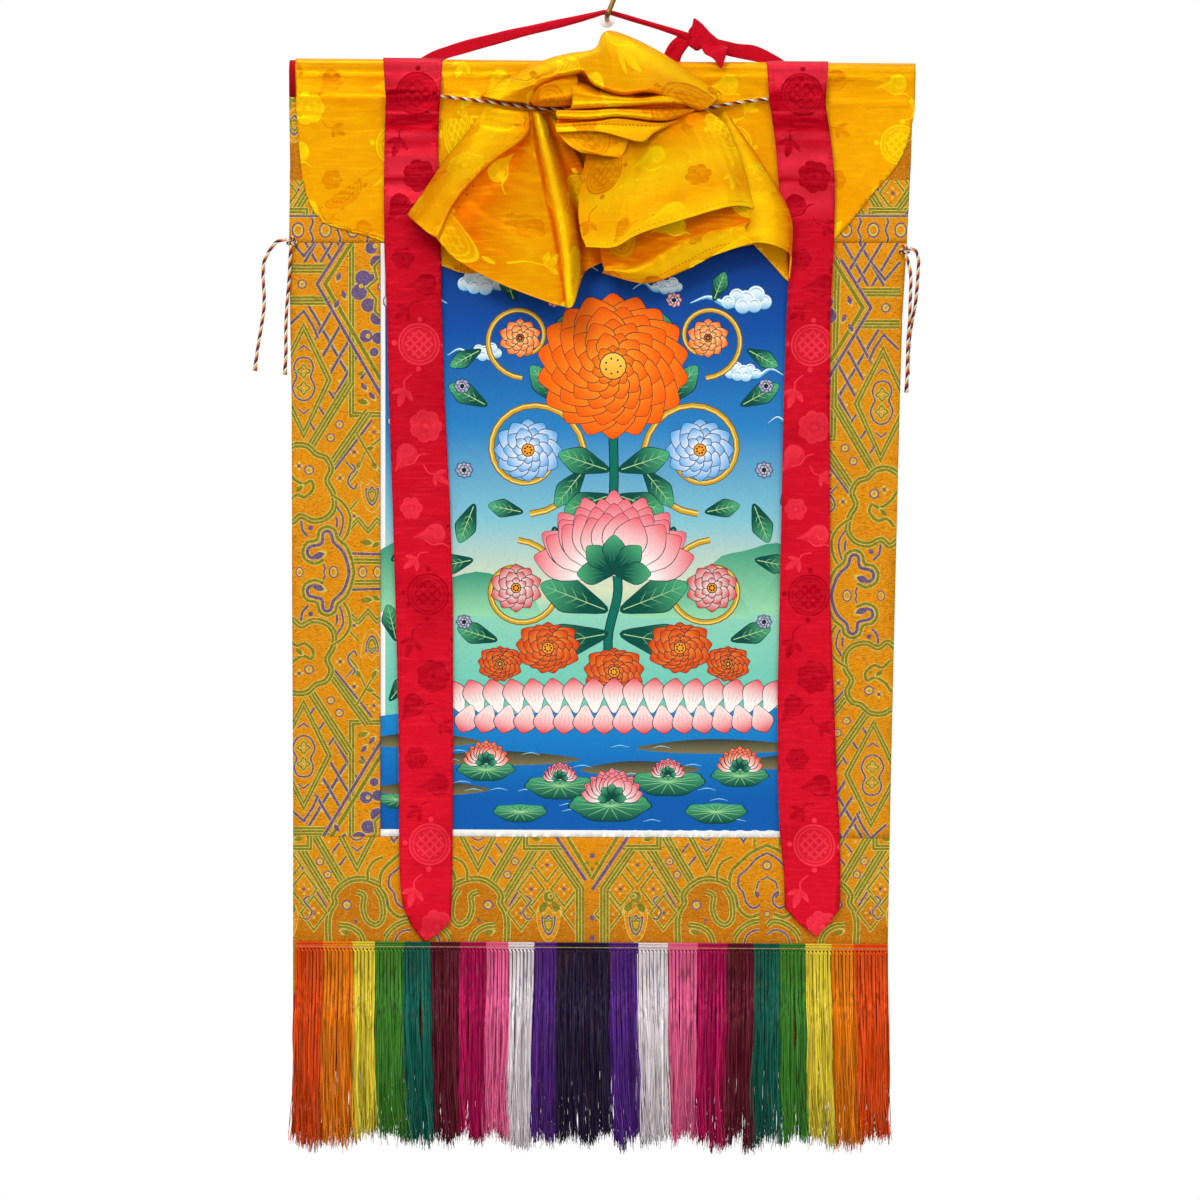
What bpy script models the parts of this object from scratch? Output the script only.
"""Thangka scroll painting in a brocade mounting, hanging by its strap from a wall hook.

Metres, +Z up. The origin is the centre of the hook's flange on the wall. The scroll faces -Y.
Places are given the way a hanging cloth is measured: x to the right of the hook, drop below
the hook, and out from the wall. point() turns them into the frame's X, Y and Z.
"""

import math

import bmesh
import bpy
import numpy as np
from mathutils import Matrix, Vector

# Driving sizes of the mounting
CLOTH = 0.0010  # thickness of the satin, the ribbons and the lining, as hung with their hems
BROCADE_CLOTH = 0.0015
CANVAS = 0.0012
GAP = 0.0003  # between pieces that touch
PICTURE_WIDTH = 0.421
PICTURE_LEFT = -0.2267
SEAM_TOP = 0.2250  # drop of the seam above the picture
SEAM_BOTTOM = 0.8198  # drop of the seam below it, at the hook's line
SEAM_TILT = 0.0034  # the lower seam drops this much for each metre to the right
BROCADE_END = 0.9770

# Sides of the scroll: it narrows towards its foot, mostly on the right
SIDES = [  # drop, left, right
    (0.040, -0.3170, 0.3040),
    (0.080, -0.3180, 0.3060),
    (0.146, -0.3170, 0.3040),
    (0.225, -0.3180, 0.3000),
    (0.300, -0.3170, 0.2955),
    (0.384, -0.3155, 0.2930),
    (0.584, -0.3150, 0.2880),
    (0.784, -0.3140, 0.2835),
    (0.924, -0.3140, 0.2810),
    (1.056, -0.3140, 0.2820),
]

# Distance of each layer's middle from the wall
ROD_OUT = 0.0200
LINING_OUT = 0.0177
BROCADE_OUT = 0.01965
PICTURE_OUT = 0.0195
VEIL_OUT = 0.0214
FLAP_OUT = 0.0222

# Top rod and its sleeve. The rod hangs a little out of level.
ROD_RADIUS = 0.0087
ROD_DROP = 0.0551
ROD_TILT = 0.0081
STITCH_DROP = 0.0818
STITCH_TILT = 0.0088
LINING_WRAP = 0.0099  # radii at the middle of each cloth round the rod
VEIL_WRAP = 0.0113
RIBBON_WRAP = 0.0127
WRAP_ANGLES = [190, 160, 130, 100, 70, 40, 10, -20]  # degrees, from the back over the top

# Bottom rod in the pocket that the lining makes behind the fringe
FOOT_ROD_RADIUS = 0.0100
FOOT_ROD_DROP = 1.0170
FOOT_WRAP = 0.0113
POCKET_TOP = 0.9780
POCKET_END = 1.0540

# Lower edge of the veil's flat layer, from its left side to its right side
VEIL_HEM = [  # x, drop
    (-0.3110, 0.088),
    (-0.3075, 0.134),
    (-0.3040, 0.164),
    (-0.2970, 0.186),
    (-0.2890, 0.199),
    (-0.2820, 0.206),
    (-0.2640, 0.212),
    (-0.2240, 0.224),
    (-0.1660, 0.248),
    (-0.1360, 0.256),
    (-0.0870, 0.246),
    (-0.0400, 0.232),
    (0.0100, 0.222),
    (0.0800, 0.219),
    (0.1330, 0.219),
    (0.1500, 0.231),
    (0.1680, 0.250),
    (0.1820, 0.264),
    (0.1950, 0.257),
    (0.2250, 0.224),
    (0.2420, 0.206),
    (0.2700, 0.171),
    (0.2860, 0.153),
    (0.2970, 0.134),
    (0.3040, 0.112),
    (0.3080, 0.092),
]

# Each fold net is a cloth surface through rows of (x, drop, out). A row is a ridge or a
# valley of the drape, and neighbouring rows are the next fold.
SIDE_FLAP = [  # the veil's lower left part, pulled across over the rest along a slanting fold
    [(-0.2880, 0.1895, FLAP_OUT), (-0.2240, 0.1455, FLAP_OUT), (-0.1660, 0.1030, FLAP_OUT),
     (-0.1260, 0.0820, FLAP_OUT)],
    [(-0.2840, 0.1990, FLAP_OUT), (-0.2240, 0.1850, FLAP_OUT), (-0.1600, 0.1700, FLAP_OUT),
     (-0.1100, 0.1200, FLAP_OUT)],
    [(-0.2780, 0.2050, FLAP_OUT), (-0.2240, 0.2210, FLAP_OUT), (-0.1660, 0.2440, FLAP_OUT),
     (-0.0900, 0.1600, FLAP_OUT)],
]
CROWN = [  # the bunch's upper fold, which stands in a peak above the rod
    [(-0.126, 0.0800, 0.0228), (-0.107, 0.0790, 0.0228), (-0.082, 0.0785, 0.0228),
     (-0.055, 0.0785, 0.0228), (-0.030, 0.0785, 0.0228), (-0.010, 0.0790, 0.0228),
     (0.008, 0.0795, 0.0228), (0.055, 0.0800, 0.0228), (0.109, 0.0810, 0.0228)],
    [(-0.126, 0.0790, 0.0245), (-0.108, 0.0740, 0.0285), (-0.083, 0.0690, 0.0310),
     (-0.056, 0.0660, 0.0322), (-0.032, 0.0650, 0.0326), (-0.012, 0.0640, 0.0330),
     (0.007, 0.0620, 0.0334), (0.053, 0.0660, 0.0326), (0.110, 0.0790, 0.0270)],
    [(-0.126, 0.0780, 0.0265), (-0.108, 0.0680, 0.0330), (-0.083, 0.0590, 0.0355),
     (-0.056, 0.0510, 0.0368), (-0.032, 0.0470, 0.0375), (-0.012, 0.0445, 0.0378),
     (0.006, 0.0360, 0.0380), (0.053, 0.0500, 0.0378), (0.110, 0.0775, 0.0310)],
    [(-0.1245, 0.0765, 0.0290), (-0.103, 0.0630, 0.0370), (-0.080, 0.0500, 0.0410),
     (-0.056, 0.0400, 0.0430), (-0.035, 0.0355, 0.0450), (-0.013, 0.0320, 0.0465),
     (0.003, 0.0137, 0.0475), (0.053, 0.0348, 0.0470), (0.113, 0.0745, 0.0350)],
    [(-0.106, 0.0810, 0.0330), (-0.085, 0.0690, 0.0450), (-0.063, 0.0560, 0.0520),
     (-0.045, 0.0475, 0.0550), (-0.026, 0.0405, 0.0570), (-0.009, 0.0350, 0.0590),
     (0.004, 0.0300, 0.0600), (0.050, 0.0540, 0.0590), (0.106, 0.0840, 0.0400)],
    [(-0.080, 0.0870, 0.0330), (-0.068, 0.0740, 0.0460), (-0.055, 0.0630, 0.0540),
     (-0.039, 0.0560, 0.0580), (-0.023, 0.0510, 0.0610), (-0.007, 0.0480, 0.0630),
     (0.013, 0.0590, 0.0660), (0.053, 0.0730, 0.0640), (0.095, 0.0915, 0.0400)],
    [(-0.076, 0.0890, 0.0300), (-0.062, 0.0780, 0.0390), (-0.048, 0.0670, 0.0440),
     (-0.031, 0.0610, 0.0470), (-0.015, 0.0580, 0.0490), (0.001, 0.0575, 0.0500),
     (0.018, 0.0650, 0.0520), (0.053, 0.0780, 0.0520), (0.091, 0.0925, 0.0340)],
]
PLEATS = [  # back-and-forth folds under the crown, drawn together on the right
    [(0.089, 0.0860, 0.0345), (0.067, 0.0795, 0.046), (0.032, 0.0800, 0.048),
     (-0.003, 0.0740, 0.046), (-0.036, 0.0620, 0.043)],
    [(0.091, 0.0875, 0.0385), (0.060, 0.0830, 0.058), (0.030, 0.0860, 0.062),
     (-0.005, 0.0840, 0.062), (-0.034, 0.0820, 0.058)],
    [(0.0905, 0.0892, 0.0385), (0.061, 0.0885, 0.058), (0.025, 0.0915, 0.061),
     (-0.003, 0.0925, 0.061), (-0.036, 0.0938, 0.056)],
    [(0.088, 0.0905, 0.0350), (0.056, 0.0905, 0.048), (0.020, 0.0928, 0.050),
     (-0.007, 0.0940, 0.050), (-0.041, 0.0946, 0.045)],
    [(0.088, 0.0922, 0.0350), (0.056, 0.0930, 0.048), (0.018, 0.0946, 0.050),
     (-0.009, 0.0958, 0.050), (-0.045, 0.0956, 0.045)],
    [(0.088, 0.0936, 0.0385), (0.059, 0.0985, 0.057), (0.011, 0.0962, 0.060),
     (-0.017, 0.0975, 0.058), (-0.0505, 0.0968, 0.052)],
    [(0.086, 0.0956, 0.0385), (0.0575, 0.1055, 0.057), (0.011, 0.1018, 0.060),
     (-0.019, 0.1042, 0.058), (-0.0500, 0.1025, 0.052)],
    [(0.085, 0.0970, 0.0350), (0.054, 0.1065, 0.047), (0.009, 0.1032, 0.049),
     (-0.016, 0.1053, 0.049), (-0.049, 0.1042, 0.044)],
    [(0.083, 0.0985, 0.0350), (0.053, 0.1080, 0.047), (0.010, 0.1050, 0.049),
     (-0.014, 0.1072, 0.049), (-0.050, 0.1066, 0.044)],
    [(0.082, 0.1002, 0.0385), (0.0540, 0.1098, 0.0545), (0.0150, 0.1068, 0.058),
     (-0.011, 0.1088, 0.057), (-0.052, 0.1112, 0.051)],
    [(0.078, 0.1034, 0.0385), (0.0480, 0.1180, 0.0545), (0.0330, 0.1280, 0.058),
     (-0.008, 0.1180, 0.057), (-0.050, 0.1180, 0.050)],
]
PLEATS_BACK = [0.0310, 0.0400, 0.0410, 0.0410, 0.0400]  # out, at each of a row's places
TONGUE = [  # the short squared end under the pleats
    [(-0.050, 0.1120, 0.0455), (-0.018, 0.1100, 0.0500), (0.022, 0.1120, 0.0500)],
    [(-0.047, 0.1210, 0.0470), (-0.017, 0.1260, 0.0530), (0.021, 0.1270, 0.0510)],
    [(-0.037, 0.1310, 0.0480), (-0.011, 0.1370, 0.0530), (0.017, 0.1380, 0.0510)],
    [(-0.026, 0.1375, 0.0490), (-0.004, 0.1410, 0.0520), (0.013, 0.1430, 0.0500)],
]
LEFT_SWAG = [  # from the cord down to the hem, left edge first
    [(-0.121, 0.091, 0.0216), (-0.139, 0.115, 0.0262), (-0.170, 0.158, 0.0300), (-0.199, 0.198, 0.0315)],
    [(-0.112, 0.092, 0.0218), (-0.125, 0.118, 0.0330), (-0.152, 0.165, 0.0410), (-0.184, 0.214, 0.0430)],
    [(-0.090, 0.095, 0.0220), (-0.104, 0.125, 0.0300), (-0.128, 0.175, 0.0330), (-0.166, 0.227, 0.0390)],
    [(-0.082, 0.096, 0.0222), (-0.093, 0.130, 0.0340), (-0.118, 0.190, 0.0440), (-0.150, 0.245, 0.0500)],
    [(-0.076, 0.096, 0.0224), (-0.080, 0.135, 0.0350), (-0.092, 0.200, 0.0430), (-0.109, 0.267, 0.0500)],
    [(-0.072, 0.097, 0.0226), (-0.066, 0.135, 0.0350), (-0.066, 0.205, 0.0400), (-0.068, 0.283, 0.0480)],
    [(-0.070, 0.097, 0.0228), (-0.060, 0.130, 0.0420), (-0.050, 0.200, 0.0560), (-0.040, 0.293, 0.0600)],
    [(-0.068, 0.097, 0.0228), (-0.052, 0.128, 0.0400), (-0.038, 0.195, 0.0490), (-0.031, 0.289, 0.0520)],
    [(-0.064, 0.098, 0.0226), (-0.044, 0.128, 0.0340), (-0.028, 0.190, 0.0370), (-0.023, 0.258, 0.0420)],
    [(-0.056, 0.098, 0.0222), (-0.032, 0.128, 0.0300), (-0.005, 0.185, 0.0330), (0.010, 0.240, 0.0360)],
]
FRONT_FLAP = [  # the broad flap in front, upper row first
    [(-0.021, 0.1400, 0.0400), (0.005, 0.1220, 0.0420), (0.030, 0.1120, 0.0430),
     (0.055, 0.1050, 0.0430), (0.080, 0.0985, 0.0400), (0.100, 0.0940, 0.0330)],
    [(-0.026, 0.1700, 0.0460), (0.004, 0.1550, 0.0500), (0.032, 0.1420, 0.0530),
     (0.064, 0.1300, 0.0540), (0.095, 0.1190, 0.0500), (0.119, 0.1110, 0.0420)],
    [(-0.0285, 0.1960, 0.0500), (0.004, 0.1830, 0.0560), (0.032, 0.1720, 0.0580),
     (0.070, 0.1580, 0.0580), (0.108, 0.1480, 0.0540), (0.132, 0.1420, 0.0450)],
    [(-0.026, 0.2180, 0.0520), (0.005, 0.2120, 0.0580), (0.032, 0.1990, 0.0590),
     (0.074, 0.1840, 0.0590), (0.117, 0.1720, 0.0550), (0.140, 0.1700, 0.0460)],
    [(-0.021, 0.2320, 0.0520), (0.007, 0.2325, 0.0590), (0.032, 0.2195, 0.0600),
     (0.078, 0.2045, 0.0590), (0.124, 0.1915, 0.0530), (0.146, 0.1925, 0.0450)],
]
UNDER_FOLD = [  # the cloth turned under the front flap, upper row first
    [(-0.010, 0.215, 0.044), (0.020, 0.210, 0.047), (0.060, 0.200, 0.048), (0.100, 0.190, 0.046),
     (0.140, 0.190, 0.043)],
    [(-0.005, 0.246, 0.046), (0.030, 0.240, 0.050), (0.070, 0.222, 0.050), (0.105, 0.212, 0.048),
     (0.146, 0.202, 0.044)],
    [(-0.003, 0.254, 0.050), (0.032, 0.255, 0.053), (0.062, 0.237, 0.052), (0.090, 0.223, 0.050),
     (0.138, 0.212, 0.046)],
    [(-0.005, 0.257, 0.044), (0.039, 0.267, 0.043), (0.078, 0.254, 0.041), (0.114, 0.236, 0.040),
     (0.149, 0.227, 0.037)],
]
RIGHT_SWAG = [  # from the cord down to the hem, left edge first
    [(0.105, 0.098, 0.0218), (0.106, 0.120, 0.0300), (0.107, 0.160, 0.0350), (0.104, 0.200, 0.0380),
     (0.096, 0.243, 0.0400)],
    [(0.111, 0.097, 0.0218), (0.116, 0.120, 0.0310), (0.124, 0.160, 0.0380), (0.130, 0.195, 0.0410),
     (0.132, 0.231, 0.0430)],
    [(0.115, 0.095, 0.0218), (0.124, 0.117, 0.0320), (0.138, 0.155, 0.0410), (0.147, 0.190, 0.0450),
     (0.149, 0.227, 0.0470)],
    [(0.117, 0.094, 0.0218), (0.130, 0.116, 0.0310), (0.150, 0.152, 0.0390), (0.164, 0.190, 0.0440),
     (0.167, 0.230, 0.0460)],
    [(0.118, 0.094, 0.0218), (0.134, 0.117, 0.0280), (0.158, 0.154, 0.0340), (0.176, 0.192, 0.0390),
     (0.180, 0.236, 0.0410)],
    [(0.118, 0.095, 0.0216), (0.136, 0.121, 0.0262), (0.163, 0.163, 0.0300), (0.183, 0.200, 0.0335),
     (0.1835, 0.241, 0.0345)],
    [(0.116, 0.097, 0.0214), (0.130, 0.126, 0.0250), (0.158, 0.170, 0.0290), (0.181, 0.212, 0.0300),
     (0.182, 0.262, 0.0300)],
]

# Ribbons: two tails of satin ribbon, pointed at the foot. Creases from rolling near the top.
RIBBON_OUT_SLEEVE = 0.0284
LEFT_RIBBON = [  # drop, left, right, out
    (0.0815, -0.2210, -0.1665, 0.0284),
    (0.0880, -0.2212, -0.1670, 0.0276),
    (0.0960, -0.2215, -0.1675, 0.0256),
    (0.1040, -0.2218, -0.1680, 0.0272),
    (0.1150, -0.2222, -0.1682, 0.0250),
    (0.1300, -0.2225, -0.1685, 0.0264),
    (0.1450, -0.2228, -0.1685, 0.0250),
    (0.1600, -0.2230, -0.1680, 0.0260),
    (0.1800, -0.2230, -0.1670, 0.0248),
    (0.2350, -0.2225, -0.1660, 0.0246),
    (0.2900, -0.2205, -0.1653, 0.0232),
    (0.3840, -0.2180, -0.1625, 0.0226),
    (0.4840, -0.2145, -0.1570, 0.0232),
    (0.5840, -0.2115, -0.1540, 0.0226),
    (0.7000, -0.2085, -0.1538, 0.0230),
    (0.8000, -0.2080, -0.1542, 0.0226),
    (0.8480, -0.2076, -0.1546, 0.0226),
    (0.8710, -0.2065, -0.1550, 0.0226),
    (0.8890, -0.2040, -0.1553, 0.0226),
    (0.9050, -0.1973, -0.1567, 0.0230),
    (0.9160, -0.1895, -0.1690, 0.0238),
    (0.9235, -0.1828, -0.1812, 0.0240),
]
RIGHT_RIBBON = [  # drop, left, right, out
    (0.0845, 0.1618, 0.2184, 0.0284),
    (0.0910, 0.1630, 0.2190, 0.0272),
    (0.1000, 0.1645, 0.2203, 0.0252),
    (0.1090, 0.1657, 0.2215, 0.0268),
    (0.1210, 0.1675, 0.2235, 0.0250),
    (0.1350, 0.1690, 0.2250, 0.0264),
    (0.1480, 0.1700, 0.2262, 0.0250),
    (0.1620, 0.1710, 0.2276, 0.0258),
    (0.1850, 0.1730, 0.2278, 0.0248),
    (0.2250, 0.1790, 0.2270, 0.0246),
    (0.2600, 0.1815, 0.2250, 0.0240),
    (0.3000, 0.1794, 0.2233, 0.0232),
    (0.3820, 0.1766, 0.2226, 0.0226),
    (0.4840, 0.1745, 0.2228, 0.0232),
    (0.5840, 0.1725, 0.2230, 0.0226),
    (0.6760, 0.1704, 0.2268, 0.0230),
    (0.7680, 0.1709, 0.2300, 0.0226),
    (0.8140, 0.1725, 0.2327, 0.0226),
    (0.8600, 0.1770, 0.2333, 0.0226),
    (0.8900, 0.1776, 0.2327, 0.0226),
    (0.9050, 0.1910, 0.2230, 0.0230),
    (0.9185, 0.2080, 0.2096, 0.0238),
]

# Fringe
FRINGE_LEFT = -0.3100
FRINGE_RIGHT = 0.2800
HEADING_TOP = 0.9250
HEADING_HEIGHT = 0.0080
HEADING_THICKNESS = 0.0020
HEADING_OUT = 0.0218
HEADING_TILT = 0.0050
STRANDS = 160
STRAND_WIDTH = 0.0023
STRAND_PATH = [  # drop below the heading's top, out
    (0.006, 0.0218),
    (0.062, 0.0242),
    (0.086, 0.0332),
    (0.100, 0.0345),
]
TIP_DROP = 0.200
TIP_OUT = 0.0295
TIP_VARIES = 0.011

# Twisted cords: four strands, round
CORD_RADIUS = 0.0018
CORD_PITCH = 0.0125  # length of one turn of the twist
VEIL_CORD = [  # across the veil, behind the bunch
    (-0.178, 0.0775, 0.0256),
    (-0.166, 0.0790, 0.0256),
    (-0.141, 0.0822, 0.0256),
    (-0.107, 0.0862, 0.0252),
    (-0.074, 0.0905, 0.0250),
    (-0.050, 0.0918, 0.0250),
    (0.010, 0.0922, 0.0250),
    (0.070, 0.0922, 0.0250),
    (0.096, 0.0915, 0.0250),
    (0.125, 0.0865, 0.0250),
    (0.163, 0.0815, 0.0252),
    (0.174, 0.0808, 0.0252),
]
TIES = {  # the free ends of the two edge ties, from the knot down
    "tie_left_inner": [
        (-0.3160, 0.2280, 0.0238), (-0.3166, 0.2400, 0.0240), (-0.3172, 0.2520, 0.0236),
        (-0.3182, 0.2680, 0.0230), (-0.3200, 0.2880, 0.0226), (-0.3210, 0.3120, 0.0224),
        (-0.3210, 0.3350, 0.0224), (-0.3220, 0.3570, 0.0224),
    ],
    "tie_left_outer": [
        (-0.3205, 0.2222, 0.0234), (-0.3290, 0.2240, 0.0230), (-0.3345, 0.2290, 0.0222),
        (-0.3390, 0.2360, 0.0216), (-0.3430, 0.2450, 0.0210), (-0.3440, 0.2600, 0.0208),
        (-0.3430, 0.2740, 0.0206), (-0.3430, 0.2890, 0.0206), (-0.3445, 0.3020, 0.0206),
        (-0.3468, 0.3160, 0.0206), (-0.3490, 0.3290, 0.0206), (-0.3512, 0.3450, 0.0206),
        (-0.3520, 0.3530, 0.0206),
    ],
    "tie_right_inner": [
        (0.2985, 0.2375, 0.0238), (0.3012, 0.2460, 0.0256), (0.3033, 0.2590, 0.0274),
        (0.3032, 0.2740, 0.0276), (0.3026, 0.2900, 0.0276), (0.3020, 0.3050, 0.0276),
        (0.3005, 0.3240, 0.0276), (0.3000, 0.3450, 0.0276), (0.2994, 0.3640, 0.0276),
        (0.2990, 0.3750, 0.0276),
    ],
    "tie_right_outer": [
        (0.3030, 0.2310, 0.0234), (0.3088, 0.2340, 0.0224), (0.3115, 0.2420, 0.0216),
        (0.3110, 0.2560, 0.0214), (0.3100, 0.2700, 0.0214), (0.3085, 0.2860, 0.0214),
        (0.3060, 0.2990, 0.0214), (0.3036, 0.3130, 0.0214), (0.3020, 0.3280, 0.0214),
        (0.3010, 0.3440, 0.0214), (0.3006, 0.3570, 0.0214),
    ],
}
KNOTS = {"tie_left_knot": (-0.3150, 0.2240), "tie_right_knot": (0.2975, 0.2325)}
KNOT_SIZE = 0.00145
KNOT_TUBE = 0.00125
KNOT_OUT = 0.0233

# Hook: a square-bend brass hook with a round flange on the wall
HOOK_RADIUS = 0.0025
FLANGE_RADIUS = 0.0080
FLANGE_THICKNESS = 0.0020
HOOK_REACH = 0.0330
HOOK_RISE = 0.0320
HOOK_LEAN = 0.0130
HOOK_BEND = 0.0060

# Strap: soft tube of ribbon from the sleeve's back over the hook and back, tied in a knot
STRAP = [  # x, drop, out, half height, half depth
    (-0.172, 0.068, 0.0083, 0.0062, 0.0010),
    (-0.158, 0.052, 0.0082, 0.0062, 0.0011),
    (-0.141, 0.038, 0.0090, 0.0062, 0.0014),
    (-0.118, 0.0285, 0.0112, 0.0060, 0.0020),
    (-0.085, 0.0195, 0.0150, 0.0052, 0.0026),
    (-0.050, 0.0100, 0.0185, 0.0042, 0.0032),
    (-0.020, 0.0004, 0.0200, 0.0032, 0.0038),
    (-0.006, -0.0044, 0.0205, 0.0026, 0.0044),
    (0.000, -0.0054, 0.0205, 0.0024, 0.0046),
    (0.006, -0.0044, 0.0205, 0.0024, 0.0044),
    (0.025, 0.0030, 0.0200, 0.0024, 0.0034),
    (0.052, 0.0125, 0.0190, 0.0024, 0.0030),
    (0.074, 0.0195, 0.0180, 0.0034, 0.0030),
    (0.092, 0.0225, 0.0180, 0.0050, 0.0036),
    (0.110, 0.0270, 0.0165, 0.0060, 0.0032),
    (0.128, 0.0315, 0.0130, 0.0068, 0.0024),
    (0.146, 0.0340, 0.0100, 0.0070, 0.0016),
    (0.164, 0.0410, 0.0086, 0.0064, 0.0011),
    (0.180, 0.0530, 0.0082, 0.0062, 0.0011),
    (0.194, 0.0710, 0.0083, 0.0062, 0.0010),
]
BOW_CENTRE = (0.0900, 0.0230, 0.0190)
BOW_SIZE = (0.0095, 0.0062, 0.0085)  # half width, half depth, half height
BOW_TAIL = [  # the end that falls over the sleeve's front, top tip first
    [(0.0866, 0.0012, 0.0225), (0.0876, 0.0010, 0.0225)],
    [(0.0850, 0.0085, 0.0235), (0.0950, 0.0070, 0.0235)],
    [(0.0815, 0.0160, 0.0240), (0.1050, 0.0175, 0.0235)],
    [(0.0930, 0.0290, 0.0250), (0.1190, 0.0290, 0.0255)],
    [(0.0975, 0.0375, 0.0330), (0.1200, 0.0330, 0.0330)],
    [(0.1060, 0.0430, 0.0345), (0.1175, 0.0430, 0.0350)],
    [(0.1130, 0.0525, 0.0348), (0.1145, 0.0525, 0.0350)],
]
BOW_LOOP = [  # the other end, which goes down behind the sleeve
    [(0.0720, 0.0170, 0.0180), (0.0850, 0.0250, 0.0180)],
    [(0.0630, 0.0250, 0.0150), (0.0790, 0.0310, 0.0150)],
    [(0.0570, 0.0360, 0.0105), (0.0740, 0.0390, 0.0105)],
    [(0.0550, 0.0480, 0.0083), (0.0725, 0.0500, 0.0083)],
    [(0.0550, 0.0660, 0.0085), (0.0725, 0.0660, 0.0085)],
]


def point(x, drop, out):
    """A place in the frame: x to the right, drop below the hook, out from the wall."""
    return Vector((x, -out, -drop))


def table(rows, column, at):
    """A column of a table, read at a place in its first column."""
    return float(np.interp(at, [row[0] for row in rows], [row[column] for row in rows]))


def rod_drop(x):
    return ROD_DROP + ROD_TILT * x


def stitch_drop(x):
    return STITCH_DROP + STITCH_TILT * x


def seam_bottom(x):
    return SEAM_BOTTOM + SEAM_TILT * x


def ripple(x, drop):
    """The scroll's own gentle waves between its rods, alike in every layer."""
    still = min(1.0, max(0.0, (drop - 0.10) / 0.15)) * min(1.0, max(0.0, (0.92 - drop) / 0.15))
    across = 0.0007 * math.sin(math.tau * x / 0.60 + 0.6)
    down = 0.0005 * math.sin(math.tau * drop / 0.52 + 1.0)
    return still * (across + down)


def spline(values, at):
    """Catmull-Rom through a list of points, at runs from 0 to 1."""
    values = np.asarray(values, float)
    last = len(values) - 1
    place = min(at * last, last - 1e-9)
    i = int(place)
    t = place - i
    before = values[i - 1] if i else 2 * values[0] - values[1]
    after = values[i + 2] if i + 2 <= last else 2 * values[last] - values[last - 1]
    a, b = values[i], values[i + 1]
    return 0.5 * (2 * a + (b - before) * t + (2 * before - 5 * a + 4 * b - after) * t**2
                  + (3 * a - before - 3 * b + after) * t**3)


def net_surface(net):
    """A function of (u, v) over a fold net: u along a row, v from row to row."""
    def place(u, v):
        x, drop, out = spline([spline(row, u) for row in net], v)
        return point(x, drop, out + ripple(x, drop))
    return place


def material(name, colour, roughness, metallic=0.0):
    made = bpy.data.materials.new(name)
    made.use_nodes = True
    shader = made.node_tree.nodes["Principled BSDF"]
    shader.inputs["Base Color"].default_value = (*colour, 1.0)
    shader.inputs["Roughness"].default_value = roughness
    shader.inputs["Metallic"].default_value = metallic
    return made


def mesh_object(name, points, faces, collection, finish):
    mesh = bpy.data.meshes.new(name)
    mesh.from_pydata([tuple(p) for p in points], [], faces)
    made = bpy.data.objects.new(name, mesh)
    collection.objects.link(made)
    if finish:
        mesh.materials.append(finish)
    return made


def face_outward(mesh):
    edit = bmesh.new()
    edit.from_mesh(mesh)
    bmesh.ops.recalc_face_normals(edit, faces=edit.faces)
    edit.to_mesh(mesh)
    edit.free()


def cloth(name, place, across, down, thickness, collection, finish=None):
    """A grid of across by down cells laid by place(u, v), made a sheet by Solidify."""
    points = [place(i / across, j / down) for j in range(down + 1) for i in range(across + 1)]
    faces = []
    for j in range(down):
        for i in range(across):
            corner = j * (across + 1) + i
            faces.append((corner, corner + 1, corner + across + 2, corner + across + 1))
    made = mesh_object(name, points, faces, collection, finish)
    sheet = made.modifiers.new("Sheet", "SOLIDIFY")
    sheet.thickness = thickness
    sheet.offset = 0.0
    return made


def folds_block(name, net, back, across, down, collection):
    """Tight folds as one body: the net's surface in front, and a smooth back behind it."""
    front = net_surface(net)
    points, faces = [], []
    for j in range(down + 1):
        points += [front(i / across, j / down) for i in range(across + 1)]
    count, row = len(points), across + 1
    for k, p in enumerate(points[:count]):
        behind = float(spline([[b] for b in back], (k % row) / across)[0])
        points.append(Vector((p.x, -behind, p.z)))
    for j in range(down):
        for i in range(across):
            a = j * row + i
            faces.append((a, a + 1, a + row + 1, a + row))
            faces.append(tuple(count + n for n in (a + row, a + row + 1, a + 1, a)))
    edge = [i for i in range(across)] + [j * row + across for j in range(down)]
    edge += [count - 1 - i for i in range(across)] + [(down - j) * row for j in range(down)]
    for a, b in zip(edge, edge[1:] + edge[:1]):
        faces.append((b, a, count + a, count + b))
    made = mesh_object(name, points, faces, collection, None)
    face_outward(made.data)
    return made


def tube(name, centres, sections, collection, finish=None, sides=10, side_axis=(0, 1, 0)):
    """A closed tube through centres. sections(i) gives each ring's points, in its own plane."""
    centres = [Vector(c) for c in centres]
    axis = Vector(side_axis)
    points = []
    for i, centre in enumerate(centres):
        ahead = centres[min(i + 1, len(centres) - 1)] - centres[max(i - 1, 0)]
        ahead.normalize()
        axis = (axis - ahead * axis.dot(ahead)).normalized()
        up = ahead.cross(axis)
        points += [centre + axis * a + up * b for a, b in sections(i)]
    faces = [tuple(range(sides))[::-1]]
    for i in range(len(centres) - 1):
        for k in range(sides):
            a, b = i * sides + k, i * sides + (k + 1) % sides
            faces.append((a, b, b + sides, a + sides))
    faces.append(tuple(range((len(centres) - 1) * sides, len(centres) * sides)))
    made = mesh_object(name, points, faces, collection, finish)
    face_outward(made.data)
    return made


def oval(half_up, half_side, sides):
    turns = [math.tau * k / sides for k in range(sides)]
    return [(half_side * math.cos(t), half_up * math.sin(t)) for t in turns]


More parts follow.
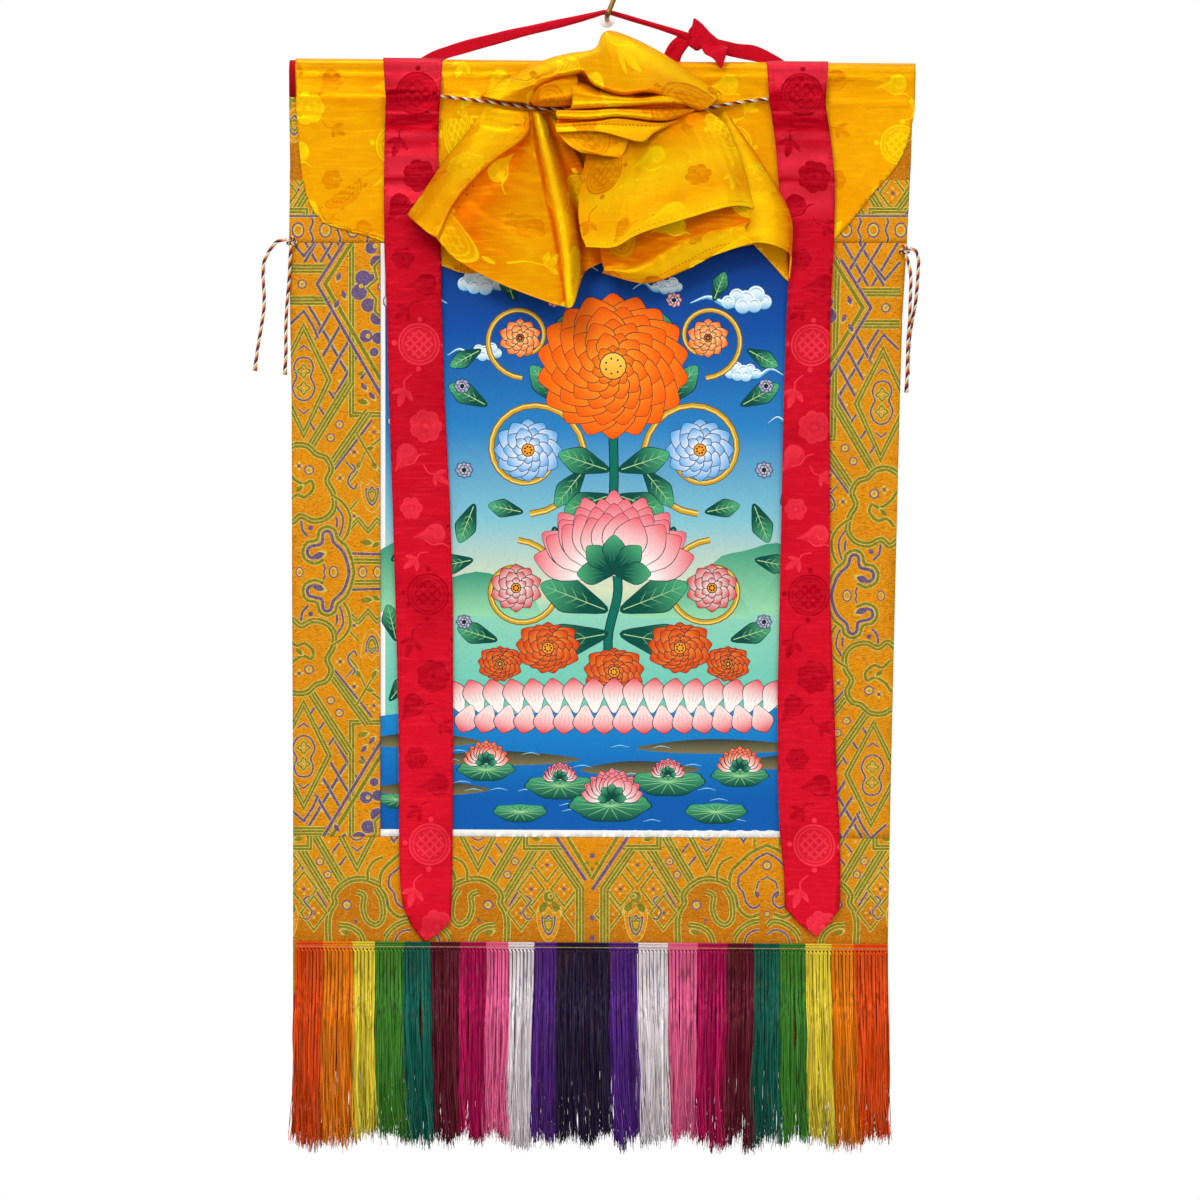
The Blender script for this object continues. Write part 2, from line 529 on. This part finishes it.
def join(target, others, cutters):
    """One solid out of overlapping ones."""
    for other in others:
        other.hide_render = True
        other.display_type = "WIRE"
    union = target.modifiers.new("Join", "BOOLEAN")
    union.operation = "UNION"
    union.operand_type = "COLLECTION"
    union.collection = cutters
    union.solver = "EXACT"
    union.use_self = True
    return target


def helpers(name):
    """A collection for the shapes that are joined into one solid."""
    made = bpy.data.collections.new(name)
    bpy.context.scene.collection.children.link(made)
    made.hide_render = True
    return made


def wrap(radius, x, angles, clear_of=0.0):
    """Points (drop, out) round the top rod, for cloth with its middle at that radius."""
    centre = rod_drop(x)
    return [(centre - (radius + clear_of) * math.sin(math.radians(a)),
             ROD_OUT + (radius + clear_of) * math.cos(math.radians(a))) for a in angles]


def rod(name, centre_left, centre_right, radius, collection, finish):
    """A turned dowel between two points."""
    start, end = Vector(centre_left), Vector(centre_right)
    bpy.ops.mesh.primitive_cylinder_add(vertices=24, radius=radius, depth=(end - start).length)
    made = bpy.context.object
    made.name = name
    made.location = (start + end) / 2
    made.rotation_euler = (end - start).to_track_quat("Z", "Y").to_euler()
    made.data.name = name
    made.data.materials.append(finish)
    made.data.shade_smooth()
    made.data.set_sharp_from_angle(angle=math.radians(40))
    for holder in list(made.users_collection):
        holder.objects.unlink(made)
    collection.objects.link(made)
    return made


def lining(collection, finish):
    """One red cloth: sleeve round the top rod, back of the scroll, pocket round the foot rod."""
    def section(x):
        sleeve = wrap(LINING_WRAP, x, WRAP_ANGLES[::-1])
        front_end = (stitch_drop(x) - 0.0006, LINING_OUT + 0.0018)
        back = [(d, LINING_OUT + ripple(x, d)) for d in
                [stitch_drop(x) + 0.004] + [0.17 + 0.0905 * k for k in range(10)]]
        turn = [math.radians(a) for a in (150, 180, 210)]
        behind = [(FOOT_ROD_DROP - FOOT_WRAP * math.sin(a), ROD_OUT + FOOT_WRAP * math.cos(a))
                  for a in turn]
        hem = [(1.0400, LINING_OUT + 0.0004), (POCKET_END - 0.0015, LINING_OUT + 0.0004),
               (POCKET_END - 0.0005, LINING_OUT + 0.0013),
               (POCKET_END - 0.0015, LINING_OUT + 0.0022), (1.0400, LINING_OUT + 0.0022)]
        ahead = [(FOOT_ROD_DROP - FOOT_WRAP * math.sin(a - math.pi),
                  ROD_OUT + FOOT_WRAP * math.cos(a - math.pi)) for a in turn]
        return [front_end, *sleeve, *back, *behind, *hem, *ahead, (0.9940, 0.0200), (POCKET_TOP, 0.0200)]

    down = len(section(0.0)) - 1

    def place(u, v):
        row = round(v * down)
        drop = section(0.0)[row][0]
        x = table(SIDES, 1, drop) * (1 - u) + table(SIDES, 2, drop) * u
        return point(x, *section(x)[row])

    return cloth("lining", place, 6, down, CLOTH, collection, finish)


def brocade(name, left, right, top, bottom, across, down, collection, finish):
    """A panel of brocade. left and right are functions of drop, top and bottom of x."""
    def place(u, v):
        middle = left(0.5) * (1 - u) + right(0.5) * u
        drop = top(middle) * (1 - v) + bottom(middle) * v
        x = left(drop) * (1 - u) + right(drop) * u
        return point(x, drop, BROCADE_OUT + ripple(x, drop))

    return cloth(name, place, across, down, BROCADE_CLOTH, collection, finish)


def brocade_panels(collection, finish):
    half = GAP / 2
    picture_right = PICTURE_LEFT + PICTURE_WIDTH

    def left_side(drop):
        return table(SIDES, 1, drop)

    def right_side(drop):
        return table(SIDES, 2, drop)

    brocade("brocade_top", left_side, right_side, lambda x: stitch_drop(x) + 0.0006,
            lambda x: SEAM_TOP - half, 12, 3, collection, finish)
    brocade("brocade_left", left_side, lambda drop: PICTURE_LEFT - half,
            lambda x: SEAM_TOP + half, lambda x: seam_bottom(x) - half, 2, 9, collection, finish)
    brocade("brocade_right", lambda drop: picture_right + half, right_side,
            lambda x: SEAM_TOP + half, lambda x: seam_bottom(x) - half, 2, 9, collection, finish)
    brocade("brocade_foot", left_side, right_side, lambda x: seam_bottom(x) + half,
            lambda x: BROCADE_END, 12, 3, collection, finish)


def picture(collection, finish):
    def place(u, v):
        x = PICTURE_LEFT + GAP / 2 + (PICTURE_WIDTH - GAP) * u
        drop = (SEAM_TOP + GAP / 2) * (1 - v) + (seam_bottom(x) - GAP / 2) * v
        return point(x, drop, PICTURE_OUT + ripple(x, drop))

    return cloth("painting", place, 8, 10, CANVAS, collection, finish)


def veil(collection, finish):
    """The silk cover: a flat layer over the sleeve, and its bunched middle, all one cloth."""
    over = WRAP_ANGLES[2:]
    hang = [0.0, 0.2, 0.5, 0.75, 1.0]
    down = len(over) + len(hang) - 1

    def flat(u, v):
        x, hem = VEIL_HEM[round(u * (len(VEIL_HEM) - 1))]
        row = round(v * down)
        if row < len(over):
            return point(x, *wrap(VEIL_WRAP, x, over)[row])
        share = hang[row - len(over)]
        drop = stitch_drop(x) * (1 - share) + hem * share
        return point(x, drop, VEIL_OUT + ripple(x, drop))

    made = cloth("veil", flat, len(VEIL_HEM) - 1, down, CLOTH, collection, finish)
    folds = helpers("veil_folds")
    shapes = {
        "side_flap": (SIDE_FLAP, 4, 6), "crown": (CROWN, 14, 10),
        "tongue": (TONGUE, 5, 4), "left_swag": (LEFT_SWAG, 6, 18), "front_flap": (FRONT_FLAP, 8, 7),
        "under_fold": (UNDER_FOLD, 9, 5), "right_swag": (RIGHT_SWAG, 7, 11),
    }
    others = [cloth("veil_" + name, net_surface(net), across, rows, CLOTH, folds)
              for name, (net, across, rows) in shapes.items()]
    others.append(folds_block("veil_pleats", PLEATS, PLEATS_BACK, 7, 10, folds))
    return join(made, others, folds)


def ribbon(name, rows, collection, finish):
    """A ribbon tail: over the sleeve, then down in front, by its table of drops."""
    over = WRAP_ANGLES[2:]
    down = len(over) + len(rows) - 1

    def place(u, v):
        row = round(v * down)
        if row < len(over):
            left, right = rows[0][1:3]
            x = left * (1 - u) + right * u
            return point(x, *wrap(RIBBON_WRAP, x, over)[row])
        drop, left, right, out = rows[row - len(over)]
        x = left * (1 - u) + right * u
        curl = 0.0004 * math.cos(math.tau * u)
        return point(x, drop, out + curl + ripple(x, drop))

    return cloth(name, place, 3, down, CLOTH, collection, finish)


def fringe(collection, finishes):
    """Rainbow fringe: one woven heading with all its strands growing out of it."""
    def heading(x):
        return HEADING_TOP + HEADING_TILT * x

    def place(u, v):
        x = FRINGE_LEFT * (1 - u) + FRINGE_RIGHT * u
        return point(x, heading(x) + HEADING_HEIGHT * v, HEADING_OUT)

    made = cloth("fringe", place, 10, 1, HEADING_THICKNESS, collection, finishes[0])
    strands = helpers("fringe_strands")
    points, faces = [], []
    for n in range(STRANDS):
        x = FRINGE_LEFT + (FRINGE_RIGHT - FRINGE_LEFT) * (n + 0.5) / STRANDS
        uneven = math.sin(n * 0.61) + 0.7 * math.sin(n * 0.23 + 2.0) + 0.5 * math.sin(n * 1.7)
        path = STRAND_PATH + [(TIP_DROP + TIP_VARIES * uneven / 2, TIP_OUT + 0.0010 * math.sin(n * 1.3))]
        first = len(points)
        for k, (below, out) in enumerate(path):
            fall = below / TIP_DROP
            sway = fall * (0.0030 * math.sin(math.tau * x / 0.21 + 2.0 * fall)
                           + 0.0012 * math.sin(math.tau * x / 0.047 + 4.0 * fall))
            width = STRAND_WIDTH * (0.75 if k == len(path) - 1 else 1.0) / 2
            for side, ahead in ((-1.0, -0.6), (1.0, -0.6), (0.0, 1.1)):
                points.append(point(x + sway + side * width, heading(x) + below, out + ahead * width))
            if k:
                ring = first + 3 * k
                for a in range(3):
                    b = (a + 1) % 3
                    faces.append((ring - 3 + a, ring - 3 + b, ring + b, ring + a))
        faces.append((first, first + 2, first + 1))
        last = first + 3 * (len(path) - 1)
        faces.append((last, last + 1, last + 2))
    all_strands = mesh_object("strands", points, faces, strands, None)
    face_outward(all_strands.data)
    return join(made, [all_strands], strands)


def twisted_cord(name, route, collection, finish):
    """A cord laid from four strands: its four ridges turn round it once for each pitch."""
    keys = [point(*p) for p in route]
    dense = [Vector(spline(keys, k / 60)) for k in range(61)]
    along = np.concatenate([[0.0], np.cumsum([(b - a).length for a, b in zip(dense, dense[1:])])])
    places = np.linspace(0.0, along[-1], round(along[-1] / CORD_PITCH * 6) + 1)
    centres = [Vector([np.interp(s, along, [p[axis] for p in dense]) for axis in range(3)])
               for s in places]

    def ring(i):
        twist = math.tau * places[i] / CORD_PITCH
        turns = [math.tau * k / 4 + twist for k in range(4)]
        return [(CORD_RADIUS * math.cos(t), CORD_RADIUS * math.sin(t)) for t in turns]

    return tube(name, centres, ring, collection, finish, 4)


def knot(name, place, collection, finish):
    """A tight overhand knot in a twisted cord, pulled up against the seam's end."""
    centres = []
    count = 24
    for k in range(count):
        t = math.tau * k / count
        side = math.sin(t) + 2 * math.sin(2 * t)
        up = math.cos(t) - 2 * math.cos(2 * t)
        out = KNOT_OUT + ripple(*place) - KNOT_SIZE * math.sin(3 * t)
        centres.append(point(place[0] + KNOT_SIZE * 1.15 * side, place[1] + KNOT_SIZE * up, out))
    curve = bpy.data.curves.new(name, "CURVE")
    curve.dimensions = "3D"
    curve.bevel_depth = KNOT_TUBE
    curve.bevel_resolution = 0
    loop = curve.splines.new("POLY")
    loop.points.add(count - 1)
    loop.use_cyclic_u = True
    for p, centre in zip(loop.points, centres):
        p.co = (*centre, 1.0)
    made = bpy.data.objects.new(name, curve)
    curve.materials.append(finish)
    collection.objects.link(made)
    return made


def hook(collection, finish):
    """Flange on the wall, shank out of it, and a square bend up into the front arm."""
    lean = Vector((HOOK_LEAN, 0, HOOK_RISE)).normalized()
    bend = Vector((0, -HOOK_REACH, 0))
    centres = [Vector((0, 0, 0)), Vector((0, -FLANGE_THICKNESS, 0)),
               Vector((0, -FLANGE_THICKNESS - 0.0002, 0)), bend + Vector((0, HOOK_BEND, 0))]
    radii = [FLANGE_RADIUS, FLANGE_RADIUS, HOOK_RADIUS, HOOK_RADIUS]
    for k in range(1, 5):
        t = k / 5
        centres.append(bend + Vector((0, HOOK_BEND, 0)) * (1 - t) ** 2 + lean * HOOK_BEND * t**2)
        radii.append(HOOK_RADIUS)
    centres += [bend + lean * (HOOK_RISE - 0.001), bend + lean * HOOK_RISE]
    radii += [HOOK_RADIUS, HOOK_RADIUS * 0.7]
    sides = 16
    return tube("wall_hook", centres, lambda i: oval(radii[i], radii[i], sides), collection,
                finish, sides, side_axis=(1, 0, 0))


def strap(collection, finish):
    """The hanging strap with its knot and two ends, all one ribbon."""
    sides = 8
    rows = [spline(STRAP, k / 31) for k in range(32)]
    centres = [point(*row[:3]) for row in rows]
    made = tube("hanging_strap", centres, lambda i: oval(rows[i][3], rows[i][4], sides),
                collection, finish, sides)
    parts = helpers("strap_parts")
    bpy.ops.mesh.primitive_uv_sphere_add(segments=14, ring_count=8, radius=1.0)
    bow = bpy.context.object
    bow.name = "bow"
    bow.data.transform(Matrix.LocRotScale(point(*BOW_CENTRE), None, Vector(BOW_SIZE)))
    for holder in list(bow.users_collection):
        holder.objects.unlink(bow)
    parts.objects.link(bow)
    tail = cloth("bow_tail", net_surface(BOW_TAIL), 3, 10, 0.0014, parts)
    loop = cloth("bow_loop", net_surface(BOW_LOOP), 3, 8, 0.0014, parts)
    return join(made, [bow, tail, loop], parts)


def main():
    for old in list(bpy.data.objects):
        bpy.data.objects.remove(old)
    scroll = bpy.data.collections.new("thangka_scroll")
    bpy.context.scene.collection.children.link(scroll)

    gold_brocade = material("gold_brocade", (0.60, 0.27, 0.02), 0.60)
    canvas = material("canvas", (0.05, 0.23, 0.45), 0.70)
    yellow_satin = material("yellow_satin", (0.86, 0.46, 0.01), 0.38)
    red_satin = material("red_satin", (0.58, 0.01, 0.03), 0.42)
    red_lining = material("red_lining", (0.55, 0.01, 0.01), 0.75)
    wood = material("wood", (0.45, 0.28, 0.15), 0.60)
    brass = material("brass", (0.42, 0.27, 0.10), 0.35, 1.0)
    cord_thread = material("cord_thread", (0.45, 0.30, 0.22), 0.60)
    fringe_silk = material("fringe_silk", (0.45, 0.05, 0.25), 0.45)

    hook(scroll, brass)
    strap(scroll, red_satin)
    rod("top_rod", point(-0.312, rod_drop(-0.312), ROD_OUT), point(0.299, rod_drop(0.299), ROD_OUT),
        ROD_RADIUS, scroll, wood)
    rod("foot_rod", point(-0.309, FOOT_ROD_DROP, ROD_OUT), point(0.277, FOOT_ROD_DROP, ROD_OUT),
        FOOT_ROD_RADIUS, scroll, wood)
    lining(scroll, red_lining)
    brocade_panels(scroll, gold_brocade)
    picture(scroll, canvas)
    veil(scroll, yellow_satin)
    ribbon("ribbon_left", LEFT_RIBBON, scroll, red_satin)
    ribbon("ribbon_right", RIGHT_RIBBON, scroll, red_satin)
    twisted_cord("veil_cord", VEIL_CORD, scroll, cord_thread)
    for name, route in TIES.items():
        twisted_cord(name, route, scroll, cord_thread)
    for name, place in KNOTS.items():
        knot(name, place, scroll, cord_thread)
    fringe(scroll, [fringe_silk])


main()
